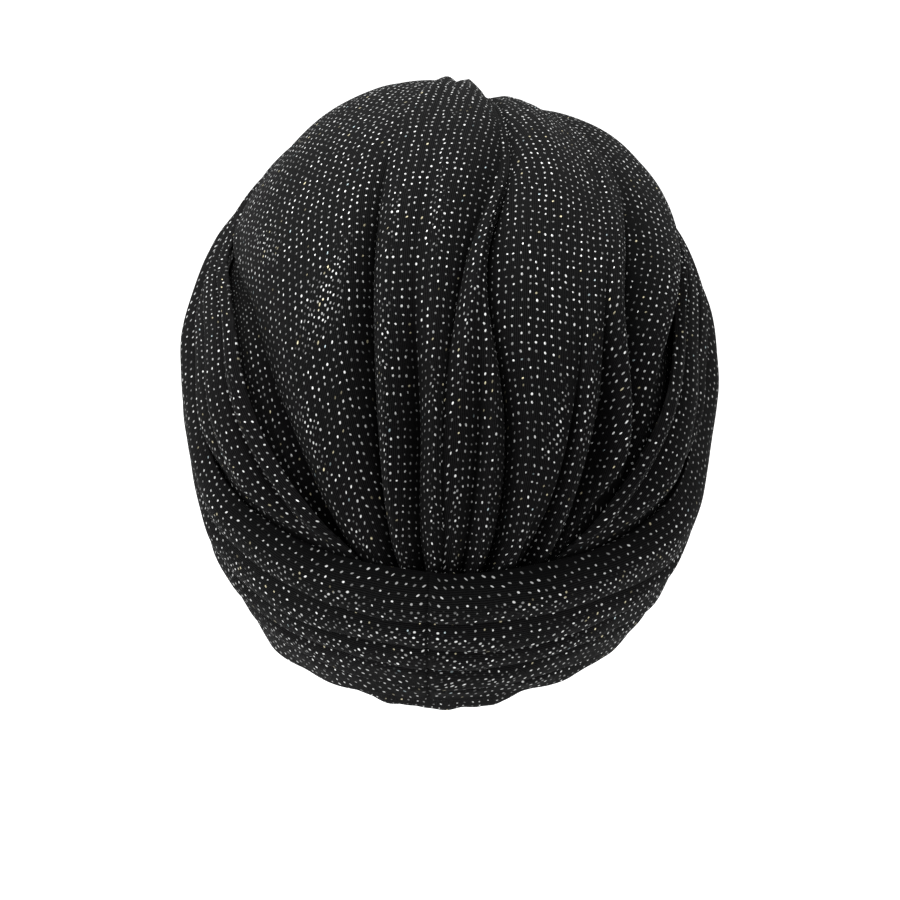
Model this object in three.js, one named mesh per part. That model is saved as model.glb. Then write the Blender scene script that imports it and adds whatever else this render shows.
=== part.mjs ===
// A ready-tied turban of fleck knit, as it sits on a head.
// Millimetres, +Z up, the wearer looks towards -Y, the wearer's left is +X.
// The origin is the middle of the head opening, halfway between the rim's nape and front points.
import * as THREE from 'three';

// Driving sizes of the dome of cloth, measured from its widest level
const HALF_WIDTH = 94;
const HALF_DEPTH = 114;
const DOME_HEIGHT = 106; // widest level to the top
const TAPER_DEPTH = 150; // lower semi-axis, which sets how slowly the sides close in
const RIM_NAPE_DROP = 89; // rim below the widest level, at the nape
const RIM_FRONT_RISE = 24; // rim above the widest level, at the forehead
const WRAP_NAPE_DROP = 10; // top edge of the lower wrap, at the nape
const WRAP_FRONT_RISE = 52; // top edge of the lower wrap, at the forehead
const HEM_SHOWS = 12; // hem left bare below the folds, at the nape
const HEM_HIDDEN = 3; // hem left bare at the sides and front
const HEM_TUCK = 8; // hem hidden behind the lower wrap

// Cloth
const CLOTH = 2; // two layers of knit
const CLEARANCE = 0.35; // between pieces that touch
const CHORD_SLACK = 0.5; // room between layers for the flat faces of their curves
const TUCK = 12; // how far a piece runs in under the next one
const PRESS = 12; // height above the lower wrap's edge at which a fold starts to be pressed flat
const PRESSED = 4; // and at which it is flat
const FOLD_DEPTH = 7; // deepest gather of the crown
const PLEAT_DEPTH = 4; // how far a fold of the wraps stands out
const FRONT_PLEATS = 0.4; // the same under the front twist, as a share
const PLEAT_DROP = 5; // height over which a fold falls back to the next one, at most
const PLEAT_DROP_SHARE = 0.4; // and at most this share of the next fold
const PLEAT_SWELL = { down: 0.45, lift: 0.7 }; // shares of the way to the fold's lower edge
const PLEAT_CREST = 0.85;
const PLEAT_EDGE = 0.35; // how far the very edge falls back
const TOP_ROLL_HEIGHT = 1.25;
const TOP_ROLL = 0.45; // lift just under the lower wrap's top edge, as a share of PLEAT_DEPTH
const HEM_EDGE = 0.1; // the last fold's lower edge falls back by this share
const COME_IN = 0.2; // share of the lower wrap's height from which it comes in to the head
const HEM_RIPPLE = 0.8;
const HEM_RIPPLES = 24;
const SETTLE_LEFT = 5.5; // how far the layers press the cloth in at the sides, on the wearer's left
const SETTLE_RIGHT = 7.5;
const SETTLE_FRONT = 5.5;
const RIM_LIFT_LEFT = 3; // the rim's extra rise behind the ears
const RIM_LIFT_RIGHT = 10;

// Front twist and the point at the nape where the crown's gathers meet
const TWIST_Y = -100;
const TWIST_Z = 52;
const GATHER_Y = 104;
const GATHER_Z = -58;
const KNOT_HALF_WIDTH = 29;
const KNOT_HALF_HEIGHT = 19;
const KNOT_THICKNESS = 11;
const KNOT_RELIEF = 2;
const KNOT_TAPER = 0.2; // how much lower the knot is at its sides
const KNOT_WAIST = 0.85; // half-height width, as a share
const KNOT_ROUND = { across: 2.6, up: 4 }; // powers of its rounding
const KNOT_GATHERS = { across: 2.6, up: 0.9, fan: 0.5 }; // half waves of its gathers
const KNOT_Z = 37;

// Faces along and across each piece
const CROWN_ROWS = 17;
const CROWN_STEPS = 3; // across each fold line of the crown
const WRAP_ROWS = 17;
const WRAP_STEPS = 2; // across each fold line of an upper wrap
const TUCKED_STEPS = 3; // across its hidden part
const LOWER_COLUMNS = 18;
const KNOT_FACES = 12;

const DEGREE = Math.PI / 180;
const SEAM_TURN = -3 * DEGREE; // centre back seam, from the nape towards the wearer's left
const CROWN_START = 5 * DEGREE; // where the crown comes out of the twist
const WRAP_START = 11 * DEGREE; // where the upper wraps come out of the twist

// Places along the crown's cloth, as angles from the twist, where the fold tables give their values
const STATIONS = [25, 70, 100, 130, 152];
const TUCKED_FROM = 60 * DEGREE; // a line of cloth runs in under the lower wrap between these angles
const TUCKED_TO = 172 * DEGREE;
const SETTLE_FROM = 48 * DEGREE; // turns round the head from the nape
const SETTLE_TO = 80 * DEGREE;
const FRONT_FROM = 120 * DEGREE;
const RIM_LIFT_FROM = 5 * DEGREE;
const RIM_LIFT_TO = 74 * DEGREE;
const ROLL_TURN = 7 * DEGREE; // how far before an upper wrap's edge the crown starts to roll in under it
const ROLLED_TURN = 2.5 * DEGREE; // and where it is all the way in
const OPEN_FROM = 16 * DEGREE; // an upper wrap's folds open between these angles from the twist
const OPEN_TO = 33 * DEGREE;

// Crown: one row for each ridge and valley, from the wearer's left to the right.
// turn: angle round the line from the twist to the nape, in degrees, at each station.
// lift: height above the dome at each station, as a share of FOLD_DEPTH.
const crownFolds = [
  { fold: 'left edge', turn: [-80, -80, -72, -72, -72], lift: [-0.1, -0.1, -0.1, -0.1, -0.1] },
  { fold: 'under left wrap', turn: [-64, -65, -53, -54, -53], lift: [0, 0, -0.1, -0.1, -0.1] },
  { fold: 'left valley', turn: [-48, -54, -46, -43, -42], lift: [0, 0, -0.15, -0.6, -0.6] },
  { fold: 'left lobe', turn: [-24, -38, -35, -33, -32], lift: [0.1, 0.35, 0.1, 0.15, 0.1] },
  { fold: 'lit ridge', turn: [-12, -17, -20.5, -24, -27], lift: [0, 0.15, 0.3, 0.1, 0.1] },
  { fold: 'main valley', turn: [-8, -13.5, -16.5, -18, -22], lift: [-0.1, 0, -0.8, -1, -0.8] },
  { fold: 'ridge beside it', turn: [-5, -10, -12.5, -14.5, -17], lift: [0.1, 0.1, 0.2, 0.25, 0.2] },
  { fold: 'short valley', turn: [-1, -5, -7.5, -7.5, -10], lift: [-0.1, 0, 0, -0.5, -0.4] },
  { fold: 'middle ridge', turn: [3, -2, -4, -3.5, -5], lift: [0.1, 0, 0.1, 0.15, 0.15] },
  { fold: 'crease, left arm', turn: [7, 8.5, 1.5, -1.8, -1], lift: [-0.6, -0.6, -0.7, -0.15, -0.1] },
  { fold: 'tongue', turn: [8, 9.5, 3.7, 2, 3], lift: [-0.7, -0.7, 0.15, 0.1, 0.1] },
  { fold: 'nape valley', turn: [9, 10.2, 4.6, 7, 8], lift: [-0.8, -0.75, 0.1, -0.5, -0.3] },
  { fold: 'nape ridge', turn: [10, 10.8, 5.3, 10.5, 13], lift: [-0.85, -0.8, -0.2, 0.1, 0.2] },
  { fold: 'crease, right arm', turn: [11, 11.5, 6.2, 14, 20], lift: [-0.85, -0.8, -0.9, -0.9, -0.9] },
  { fold: 'lobe edge', turn: [14, 15, 12, 19, 25], lift: [-0.5, -0.3, 0.1, 0.3, 0.45] },
  { fold: 'lobe crest', turn: [17, 20, 20, 25, 29], lift: [-0.45, -0.15, 0.25, 0.4, -0.3] },
  { fold: 'lower pocket', turn: [21, 25, 24, 28.5, 32], lift: [-0.5, -0.2, 0.2, 0.2, -0.6] },
  { fold: 'pocket ridge', turn: [25, 28, 27, 31, 37], lift: [-0.55, -0.25, 0.25, 0.4, 0.2] },
  { fold: 'upper pocket', turn: [28, 31, 29.5, 36.5, 41], lift: [-0.55, -0.3, 0.3, -0.5, -0.4] },
  { fold: 'lobe rim', turn: [31, 34, 31.5, 43, 46], lift: [-0.5, -0.35, 0.4, 0.5, 0.2] },
  { fold: 'big valley', turn: [34, 38, 35, 49, 50], lift: [-0.5, -0.3, -0.8, -1.1, -0.6] },
  { fold: 'right lobe', turn: [50, 51, 47.5, 53, 53], lift: [0, 0.3, 0.25, 0, 0] },
  { fold: 'under right wrap', turn: [64, 62, 55, 56, 55], lift: [0.2, 0.3, -0.1, -0.1, -0.1] },
  { fold: 'right edge', turn: [80, 80, 72, 72, 72], lift: [-0.1, -0.1, -0.1, -0.1, -0.1] },
];

// Upper wraps: one row for each fold line from the top edge down, on the wearer's left and right.
// turn: as above, without its sign. lift: share of PLEAT_DEPTH above the wrap's lowest layer.
const leftWrapFolds = [
  { fold: 'top edge', turn: [62, 63, 49.5, 45, 34], lift: [0.2, 0.1, 0.2, 0.2, 0.1] },
  { fold: 'rolled edge', turn: [63, 65, 51.5, 47.5, 37], lift: [0.4, 0.5, 0.7, 0.7, 0.5] },
  { fold: 'first valley', turn: [65, 68, 56, 51, 43], lift: [0.2, 0, 0, 0, 0] },
  { fold: 'second fold', turn: [67, 70, 61, 57, 50], lift: [0.5, 0.7, 0.9, 0.9, 0.5] },
  { fold: 'second valley', turn: [69, 73, 65.5, 62, 57], lift: [0.2, 0.2, 0.1, 0.1, 0.1] },
  { fold: 'third fold', turn: [71, 76, 70, 67, 63], lift: [0.5, 0.9, 1, 0.9, 0.4] },
];
const rightWrapFolds = [
  { fold: 'top edge', turn: [62, 60, 52, 47.5, 41], lift: [0.2, 0.1, 0.2, 0.2, 0.1] },
  { fold: 'rolled edge', turn: [63, 62, 54, 49.5, 43.5], lift: [0.4, 0.6, 0.7, 0.7, 0.5] },
  { fold: 'first valley', turn: [65, 65, 57, 53, 48], lift: [0.2, 0.2, 0.1, 0, 0] },
  { fold: 'second fold', turn: [67, 68, 62, 61, 56], lift: [0.5, 0.9, 0.9, 0.8, 0.5] },
  { fold: 'second valley', turn: [69, 71, 66.5, 66, 61], lift: [0.2, 0.4, 0.3, 0.2, 0.1] },
  { fold: 'third fold', turn: [71, 74, 71, 70, 65], lift: [0.5, 1, 1, 0.8, 0.4] },
];

// Lower wrap: one row for the lower edge of each fold.
// nape: drop from the wrap's top edge to the rim, as a share. front: the same at the forehead.
// hold: how far round the head the fold stays level. lift: share of PLEAT_DEPTH at that edge.
// behind: lift of the cloth just under that edge.
const lowerFolds = [
  { fold: 'first', nape: 0.22, front: 0.18, hold: 0.04, lift: 1.0, behind: 0.45 },
  { fold: 'second', nape: 0.39, front: 0.34, hold: 0.08, lift: 0.85, behind: 0.2 },
  { fold: 'third', nape: 0.53, front: 0.5, hold: 0.14, lift: 0.6, behind: 0.0 },
  { fold: 'fourth', nape: 0.71, front: 0.67, hold: 0.2, lift: 0.35, behind: -0.2 },
  { fold: 'last', nape: 0.86, front: 0.9, hold: 0.2, lift: 0.05, behind: -0.2 },
];
const TOP_HOLD = 0.04; // the share of the way round for which the lower wrap's top edge stays level
const RIM_HOLD = 0.2;
const HEM_BARE_TO = 34 * DEGREE; // how far from the nape the hem shows

// Layers, as heights above the dome
const upperInside = CLEARANCE + CHORD_SLACK;
const upperOutside = upperInside + CLOTH;
const lowerInside = upperOutside + CLEARANCE + CHORD_SLACK;
const lowerOutside = lowerInside + CLOTH;
const hemOutside = -CLOTH - CLEARANCE - CHORD_SLACK;

const mix = THREE.MathUtils.lerp;
const ease = (x, from, to) => THREE.MathUtils.smoothstep(x, from, to);

// The dome: two half ellipsoids that meet at the widest level
const semiAxis = (z) => (z >= 0 ? DOME_HEIGHT : TAPER_DEPTH);

function domePoint(turn, z) {
  const narrowing = Math.sqrt(1 - (z / semiAxis(z)) ** 2);
  return new THREE.Vector3(
    -HALF_WIDTH * narrowing * Math.sin(turn),
    HALF_DEPTH * narrowing * Math.cos(turn),
    z,
  );
}

function domeNormal(p) {
  return new THREE.Vector3(p.x / HALF_WIDTH ** 2, p.y / HALF_DEPTH ** 2, p.z / semiAxis(p.z) ** 2)
    .normalize();
}

// The dome's point straight out from an inner point in one direction
function domeRay(from, direction) {
  const reach = (height) => {
    const scale = new THREE.Vector3(1 / HALF_WIDTH, 1 / HALF_DEPTH, 1 / height);
    const o = from.clone().multiply(scale);
    const d = direction.clone().multiply(scale);
    const b = o.dot(d);
    return (-b + Math.sqrt(b * b - d.lengthSq() * (o.lengthSq() - 1))) / d.lengthSq();
  };
  const above = from.clone().addScaledVector(direction, reach(DOME_HEIGHT));
  if (above.z >= 0) return above;
  return from.clone().addScaledVector(direction, reach(TAPER_DEPTH));
}

// Lines of cloth from the twist to the nape
const twist = new THREE.Vector3(0, TWIST_Y, TWIST_Z);
const gather = new THREE.Vector3(0, GATHER_Y, GATHER_Z);
const heart = twist.clone().add(gather).multiplyScalar(0.5);
const along = gather.clone().sub(twist).normalize();
const aside = new THREE.Vector3(-1, 0, 0);
const upward = new THREE.Vector3().crossVectors(along, aside).normalize();
if (upward.z < 0) upward.negate();

function fromTwist(turn, angle) {
  const out = upward.clone().multiplyScalar(Math.cos(turn)).addScaledVector(aside, Math.sin(turn));
  const direction = along.clone().multiplyScalar(-Math.cos(angle)).addScaledVector(out, Math.sin(angle));
  return domeRay(heart, direction);
}

// Levels of the lower wrap, as heights at a turn round the head from the nape
function level(turn, nape, front, hold) {
  const forward = (1 - Math.cos(turn)) / 2;
  return mix(nape, front, ease(forward, hold, 1));
}
const topLevel = (turn) => level(turn, -WRAP_NAPE_DROP, WRAP_FRONT_RISE, TOP_HOLD);
function rimLevel(turn) {
  const share = THREE.MathUtils.clamp((Math.abs(turn) - RIM_LIFT_FROM) / (RIM_LIFT_TO - RIM_LIFT_FROM), 0, 1);
  const lift = (turn < 0 ? RIM_LIFT_LEFT : RIM_LIFT_RIGHT) * Math.sin(Math.PI * share) ** 2;
  return level(turn, -RIM_NAPE_DROP, RIM_FRONT_RISE, RIM_HOLD) + lift;
}
function foldLevel(turn, row) {
  const nape = mix(-WRAP_NAPE_DROP, -RIM_NAPE_DROP, row.nape);
  const front = mix(WRAP_FRONT_RISE, RIM_FRONT_RISE, row.front);
  return level(turn, nape, front, row.hold);
}
const turnOf = (p) => Math.atan2(-p.x / HALF_WIDTH, p.y / HALF_DEPTH);
// How far the layers lie below the dome's own layers: nothing at the nape, most at the sides
function settle(turn) {
  const side = turn < 0 ? SETTLE_LEFT : SETTLE_RIGHT;
  const round = mix(side, SETTLE_FRONT, ease(Math.abs(turn), FRONT_FROM, Math.PI));
  return round * ease(Math.abs(turn), SETTLE_FROM, SETTLE_TO);
}
const underWrap = (p) => topLevel(turnOf(p)) - p.z; // how far a point lies below the lower wrap's top edge

// Values of a fold table between its stations, smooth along the cloth
function alongStations(values, degrees) {
  const last = STATIONS.length - 1;
  if (degrees <= STATIONS[0]) return values[0];
  if (degrees >= STATIONS[last]) return values[last];
  const i = STATIONS.findIndex((s) => s > degrees) - 1;
  const slope = (k) => {
    const a = Math.max(k - 1, 0);
    const b = Math.min(k + 1, last);
    return (values[b] - values[a]) / (STATIONS[b] - STATIONS[a]);
  };
  const span = STATIONS[i + 1] - STATIONS[i];
  const x = (degrees - STATIONS[i]) / span;
  const h = x * x * (3 - 2 * x);
  const tangents = (slope(i) * x * (1 - x) ** 2 - slope(i + 1) * x * x * (1 - x)) * span;
  return mix(values[i], values[i + 1], h) + tangents;
}

// Turn and lift across a fold table: place runs from 0 to the number of gaps between rows
function acrossFolds(table, place, degrees) {
  const i = Math.min(Math.floor(place), table.length - 2);
  const x = place - i;
  const turns = [table[i], table[i + 1]].map((row) => alongStations(row.turn, degrees));
  const lifts = [table[i], table[i + 1]].map((row) => alongStations(row.lift, degrees));
  return { turn: mix(turns[0], turns[1], x) * DEGREE, lift: mix(lifts[0], lifts[1], ease(x, 0, 1)) };
}

// The place along a line of cloth where it has run in under the lower wrap by the tuck
function endOfLine(pointAt, from, to) {
  let near = from;
  let far = to;
  for (let k = 0; k < 30; k++) {
    const middle = (near + far) / 2;
    if (underWrap(pointAt(middle)) < TUCK) near = middle;
    else far = middle;
  }
  return near;
}

// One closed piece of cloth from a grid of points on its outside, each with its inside point.
// Around a ring, the last column joins the first.
function clothGeometry(rows, columns, pointAt, ring = false) {
  const across = ring ? columns : columns + 1;
  const positions = [];
  const points = [];
  for (let r = 0; r <= rows; r++)
    for (let c = 0; c < across; c++) points.push(pointAt(r / rows, c / columns));
  for (const side of ['outside', 'inside'])
    for (const point of points) positions.push(...point[side].toArray());
  const layer = (rows + 1) * across;
  const at = (side, r, c) => side * layer + r * across + (ring ? c % columns : c);
  const faces = [];
  const quad = (a, b, c, d) => faces.push(a, b, c, a, c, d);
  for (let r = 0; r < rows; r++)
    for (let c = 0; c < columns; c++) {
      quad(at(0, r, c), at(0, r, c + 1), at(0, r + 1, c + 1), at(0, r + 1, c));
      quad(at(1, r, c), at(1, r + 1, c), at(1, r + 1, c + 1), at(1, r, c + 1));
    }
  for (let c = 0; c < columns; c++) {
    quad(at(0, 0, c), at(1, 0, c), at(1, 0, c + 1), at(0, 0, c + 1));
    quad(at(0, rows, c + 1), at(1, rows, c + 1), at(1, rows, c), at(0, rows, c));
  }
  if (!ring)
    for (let r = 0; r < rows; r++) {
      quad(at(0, r + 1, 0), at(1, r + 1, 0), at(1, r, 0), at(0, r, 0));
      quad(at(0, r, columns), at(1, r, columns), at(1, r + 1, columns), at(0, r + 1, columns));
    }
  if (enclosedVolume(positions, faces) < 0) faces.reverse();
  const geometry = new THREE.BufferGeometry();
  geometry.setAttribute('position', new THREE.Float32BufferAttribute(positions, 3));
  geometry.setIndex(faces);
  geometry.computeVertexNormals();
  return geometry;
}

function enclosedVolume(positions, faces) {
  const corner = (i) => new THREE.Vector3().fromArray(positions, 3 * i);
  let volume = 0;
  for (let k = 0; k < faces.length; k += 3) {
    const [a, b, c] = [corner(faces[k]), corner(faces[k + 1]), corner(faces[k + 2])];
    volume += a.dot(b.cross(c)) / 6;
  }
  return volume;
}

// Both faces of a wall at one point of the dome
function wall(base, lift, thickness = CLOTH) {
  const normal = domeNormal(base);
  return {
    outside: base.clone().addScaledVector(normal, lift),
    inside: base.clone().addScaledVector(normal, lift - thickness),
  };
}

// Crown: the gathers run free in the open and are pressed flat where the wraps cover them
function wrapEdgeTurn(degrees, side) {
  const table = side < 0 ? leftWrapFolds : rightWrapFolds;
  return alongStations(table[0].turn, degrees) * DEGREE;
}

function crownLift(base, turn, angle, lift) {
  const degrees = angle / DEGREE;
  const edge = wrapEdgeTurn(degrees, turn);
  const underUpper = ease(Math.abs(turn), edge - ROLL_TURN, edge - ROLLED_TURN);
  const underLower = ease(underWrap(base), -PRESS, -PRESSED);
  const free = lift * FOLD_DEPTH;
  const pressed = settle(turnOf(base));
  const belowUpper = Math.min(free, 0) - pressed;
  const belowLower = Math.min(free, upperOutside - pressed);
  return mix(mix(free, belowLower, underLower), belowUpper, underUpper);
}

function crown() {
  const gaps = crownFolds.length - 1;
  const columns = gaps * CROWN_STEPS;
  const foldAt = (column, angle) => acrossFolds(crownFolds, column / CROWN_STEPS, angle / DEGREE);
  const ends = Array.from({ length: columns + 1 }, (_, column) =>
    endOfLine((angle) => fromTwist(foldAt(column, angle).turn, angle), TUCKED_FROM, TUCKED_TO));
  return clothGeometry(CROWN_ROWS, columns, (down, over) => {
    const column = Math.round(over * columns);
    const angle = mix(CROWN_START, ends[column], down);
    const { turn, lift } = foldAt(column, angle);
    const base = fromTwist(turn, angle);
    return wall(base, crownLift(base, turn, angle, lift));
  });
}

// Upper wraps: from the twist round the side of the crown, in under the lower wrap
function upperWrap(table, side) {
  const steps = (table.length - 1) * WRAP_STEPS;
  const columns = steps + TUCKED_STEPS;
  const topEdge = (angle) => fromTwist(side * acrossFolds(table, 0, angle / DEGREE).turn, angle);
  const end = endOfLine(topEdge, TUCKED_FROM, TUCKED_TO);
  return clothGeometry(WRAP_ROWS, columns, (down, over) => {
    const column = Math.round(over * columns);
    const beyond = Math.max(column - steps, 0) / TUCKED_STEPS;
    const angle = mix(WRAP_START, end, down);
    const fold = acrossFolds(table, Math.min(column, steps) / WRAP_STEPS, angle / DEGREE);
    const lowest = endOfLine((turn) => fromTwist(side * turn, angle), 0, Math.PI * 2 / 3);
    const turn = mix(Math.min(fold.turn, lowest), lowest, beyond);
    const base = fromTwist(side * turn, angle);
    const open = (1 - ease(underWrap(base), -PRESS, -PRESSED)) * ease(angle, OPEN_FROM, OPEN_TO);
    const lift = upperOutside + fold.lift * PLEAT_DEPTH * open * (1 - beyond);
    return wall(base, lift - settle(turnOf(base)));
  });
}

// Lower wrap: stacked folds, each standing out at its lower edge and falling back to the next
const lastFold = lowerFolds[lowerFolds.length - 1];
function hemTop(turn) {
  const bare = mix(HEM_SHOWS, HEM_HIDDEN, ease(Math.abs(turn), HEM_BARE_TO / 3, HEM_BARE_TO));
  return rimLevel(turn) + bare;
}

function lowerProfile(turn) {
  const points = [{ z: topLevel(turn), lift: 0 }];
  points.push({ z: topLevel(turn) - TOP_ROLL_HEIGHT, lift: TOP_ROLL });
  lowerFolds.forEach((row, i) => {
    const edge = row === lastFold ? hemTop(turn) : foldLevel(turn, row);
    const before = points[points.length - 1];
    const swell = mix(before.lift, row.lift, PLEAT_SWELL.lift);
    points.push({ z: mix(before.z, edge, PLEAT_SWELL.down), lift: swell });
    points.push({ z: mix(before.z, edge, PLEAT_CREST), lift: row.lift });
    if (row === lastFold) points.push({ z: edge, lift: row.lift - HEM_EDGE });
    else {
      const next = i + 2 === lowerFolds.length ? hemTop(turn) : foldLevel(turn, lowerFolds[i + 1]);
      const drop = Math.min(PLEAT_DROP, (edge - next) * PLEAT_DROP_SHARE);
      points.push({ z: edge, lift: mix(row.lift, row.behind, PLEAT_EDGE) });
      points.push({ z: edge - drop, lift: row.behind });
    }
  });
  return points;
}

function lowerWrap(from, to) {
  const rows = lowerProfile(from).length - 1;
  return clothGeometry(rows, LOWER_COLUMNS, (down, over) => {
    const turn = mix(from, to, over);
    const point = lowerProfile(turn)[Math.round(down * rows)];
    const base = domePoint(turn, point.z);
    const depth = (topLevel(turn) - point.z) / (topLevel(turn) - rimLevel(turn));
    const rest = mix(lowerOutside, 0, ease(depth, COME_IN, 1));
    const gathered = mix(1, FRONT_PLEATS, ease(Math.abs(turn), Math.PI / 2, Math.PI));
    return wall(base, rest + Math.max(point.lift, 0) * PLEAT_DEPTH * gathered - settle(turn));
  });
}

// Hem: a gathered elastic edge that runs all round the opening
function rimHem() {
  return clothGeometry(3, HEM_RIPPLES * 3, (down, over) => {
    const turn = over * 2 * Math.PI;
    const signed = turn > Math.PI ? turn - 2 * Math.PI : turn;
    const z = mix(hemTop(signed) + HEM_TUCK, rimLevel(signed), down);
    const ripple = HEM_RIPPLE * (1 - Math.cos(over * HEM_RIPPLES * 2 * Math.PI)) / 2;
    return wall(domePoint(signed, z), hemOutside - ripple * ease(down, 0.1, 0.6) - settle(signed));
  }, true);
}

// Front twist: a short fat crossing of gathered cloth over the ends of the wraps
function frontKnot() {
  return clothGeometry(KNOT_FACES, KNOT_FACES, (down, over) => {
    const a = 2 * over - 1;
    const b = 1 - 2 * down;
    const z = KNOT_Z + KNOT_HALF_HEIGHT * b * (1 - KNOT_TAPER * a * a);
    const waist = mix(KNOT_WAIST, 1, b * b);
    const across = KNOT_HALF_WIDTH * waist * a;
    const narrowing = domePoint(0, z).y / HALF_DEPTH;
    const base = domePoint(Math.PI - Math.asin(across / (HALF_WIDTH * narrowing)), z);
    const overLower = lowerOutside + PLEAT_DEPTH * FRONT_PLEATS;
    const beneath = mix(upperOutside, overLower, ease(underWrap(base), -PRESS / 2, 0));
    const rounding = (1 - Math.abs(a) ** KNOT_ROUND.across) * (1 - Math.abs(b) ** KNOT_ROUND.up);
    const bulge = Math.sqrt(Math.max(rounding, 0));
    const waves = KNOT_GATHERS.across * a + KNOT_GATHERS.up * b + KNOT_GATHERS.fan * a * b;
    const gathers = KNOT_RELIEF * Math.cos(waves * Math.PI) * (1 - a ** 4);
    const thick = CLOTH + (KNOT_THICKNESS - CLOTH) * bulge + gathers * bulge;
    return wall(base, beneath + CLEARANCE + CHORD_SLACK + thick - settle(turnOf(base)), thick);
  });
}

// The finish of the cloth
const knit = () => new THREE.MeshStandardMaterial({ color: '#1b1b1c', roughness: 0.82, metalness: 0.0 });
const elastic = () => new THREE.MeshStandardMaterial({ color: '#161617', roughness: 0.88, metalness: 0.0 });

function piece(name, geometry, material) {
  const mesh = new THREE.Mesh(geometry, material);
  mesh.name = name;
  return mesh;
}

const seamHalf = CLEARANCE / 2 / HALF_WIDTH;
const turban = new THREE.Group();
turban.add(
  piece('crown', crown(), knit()),
  piece('upper_wrap_left', upperWrap(leftWrapFolds, -1), knit()),
  piece('upper_wrap_right', upperWrap(rightWrapFolds, 1), knit()),
  piece('lower_wrap_left', lowerWrap(SEAM_TURN - seamHalf, -Math.PI + seamHalf), knit()),
  piece('lower_wrap_right', lowerWrap(SEAM_TURN + seamHalf, Math.PI - seamHalf), knit()),
  piece('rim_hem', rimHem(), elastic()),
  piece('front_knot', frontKnot(), knit()),
);

// The dome is worked out from its widest level, and set so that the middle of the opening is the origin
const rimNape = domePoint(0, rimLevel(0));
const rimFront = domePoint(Math.PI, rimLevel(Math.PI));
turban.position.copy(rimNape.add(rimFront).multiplyScalar(-0.5));

export default turban;
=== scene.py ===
from math import asin, atan2, cos, degrees, pi, radians, sin, sqrt
import bpy
import bmesh
from mathutils import Matrix, Vector, noise


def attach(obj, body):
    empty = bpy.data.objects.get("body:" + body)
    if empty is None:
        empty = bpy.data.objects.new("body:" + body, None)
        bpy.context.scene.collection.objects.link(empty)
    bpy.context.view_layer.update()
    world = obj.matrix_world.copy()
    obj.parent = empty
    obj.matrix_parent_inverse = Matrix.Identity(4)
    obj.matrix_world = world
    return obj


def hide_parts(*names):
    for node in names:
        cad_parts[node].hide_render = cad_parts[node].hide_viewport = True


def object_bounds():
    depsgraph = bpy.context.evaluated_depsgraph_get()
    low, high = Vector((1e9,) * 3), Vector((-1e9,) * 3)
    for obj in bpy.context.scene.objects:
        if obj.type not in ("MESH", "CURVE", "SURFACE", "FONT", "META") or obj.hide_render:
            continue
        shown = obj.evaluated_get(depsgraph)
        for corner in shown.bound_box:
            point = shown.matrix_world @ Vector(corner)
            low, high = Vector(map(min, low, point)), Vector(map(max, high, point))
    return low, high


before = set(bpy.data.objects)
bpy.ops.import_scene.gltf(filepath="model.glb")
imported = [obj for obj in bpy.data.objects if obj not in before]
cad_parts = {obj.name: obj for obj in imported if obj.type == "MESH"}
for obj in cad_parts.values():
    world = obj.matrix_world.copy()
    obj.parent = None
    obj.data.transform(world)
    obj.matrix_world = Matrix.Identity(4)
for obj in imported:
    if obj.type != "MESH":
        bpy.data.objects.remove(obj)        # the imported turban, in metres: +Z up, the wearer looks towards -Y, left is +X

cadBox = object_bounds()
mm = 0.001

# The dome of cloth, from its widest level
dome = {
    "halfWidth": 94 * mm,
    "halfDepth": 114 * mm,
    "height": 106 * mm,
    "taper": 150 * mm,         # lower semi-axis
    "twist": (0, -100 * mm, 52 * mm),
    "gather": (0, 104 * mm, -58 * mm),
}

# Levels of the wraps, above and below the widest level
levels = {
    "rimNape": -89 * mm,
    "rimFront": 24 * mm,
    "topNape": -10 * mm,
    "topFront": 52 * mm,
    "topHold": 0.04,
    "rimHold": 0.2,
    "hemShows": 12 * mm,
    "hemHidden": 3 * mm,
    "hemBareTo": radians(34),
    "rimLiftLeft": 3 * mm,     # the rim's extra rise at the sides
    "rimLiftRight": 10 * mm,
    "rimLiftFrom": radians(5),
    "rimLiftTo": radians(74),
}

# How far the layers press the cloth in at the sides and front
settled = {
    "left": 5.5 * mm,
    "right": 7.5 * mm,
    "front": 5.5 * mm,
    "start": radians(48),
    "full": radians(80),
    "frontFrom": radians(120),
}

cloth = {
    "wall": 2 * mm,            # the solid's wall, which the layers are set out from
    "gap": 0.85 * mm,          # between layers
    "tuck": 12 * mm,
    "press": 12 * mm,          # over which a fold flattens before it runs in under
    "foldDepth": 9 * mm,
    "pleatDepth": 5 * mm,
    "sheet": 1.0 * mm,         # thickness of the visible cloth
}
upperOutside = cloth["gap"] + cloth["wall"]
lowerOutside = upperOutside + cloth["gap"] + cloth["wall"]
hemOutside = -cloth["wall"] - cloth["gap"]


def mix(a, b, x):
    return a + (b - a) * x


def ease(x, start, end):
    t = min(max((x - start) / (end - start), 0.0), 1.0)
    return t * t * (3 - 2 * t)


def semiAxis(z):
    return dome["height"] if z >= 0 else dome["taper"]


def domePoint(turn, z):
    narrowing = sqrt(1 - (z / semiAxis(z)) ** 2)
    return Vector((-dome["halfWidth"] * narrowing * sin(turn), dome["halfDepth"] * narrowing * cos(turn), z))


def domeNormal(p):
    n = Vector((p.x / dome["halfWidth"] ** 2, p.y / dome["halfDepth"] ** 2, p.z / semiAxis(p.z) ** 2))
    return n.normalized()


twistPoint = Vector(dome["twist"])
gatherPoint = Vector(dome["gather"])
heart = (twistPoint + gatherPoint) / 2
along = (gatherPoint - twistPoint).normalized()
aside = Vector((-1, 0, 0))
upward = along.cross(aside).normalized()
if upward.z < 0:
    upward.negate()


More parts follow.
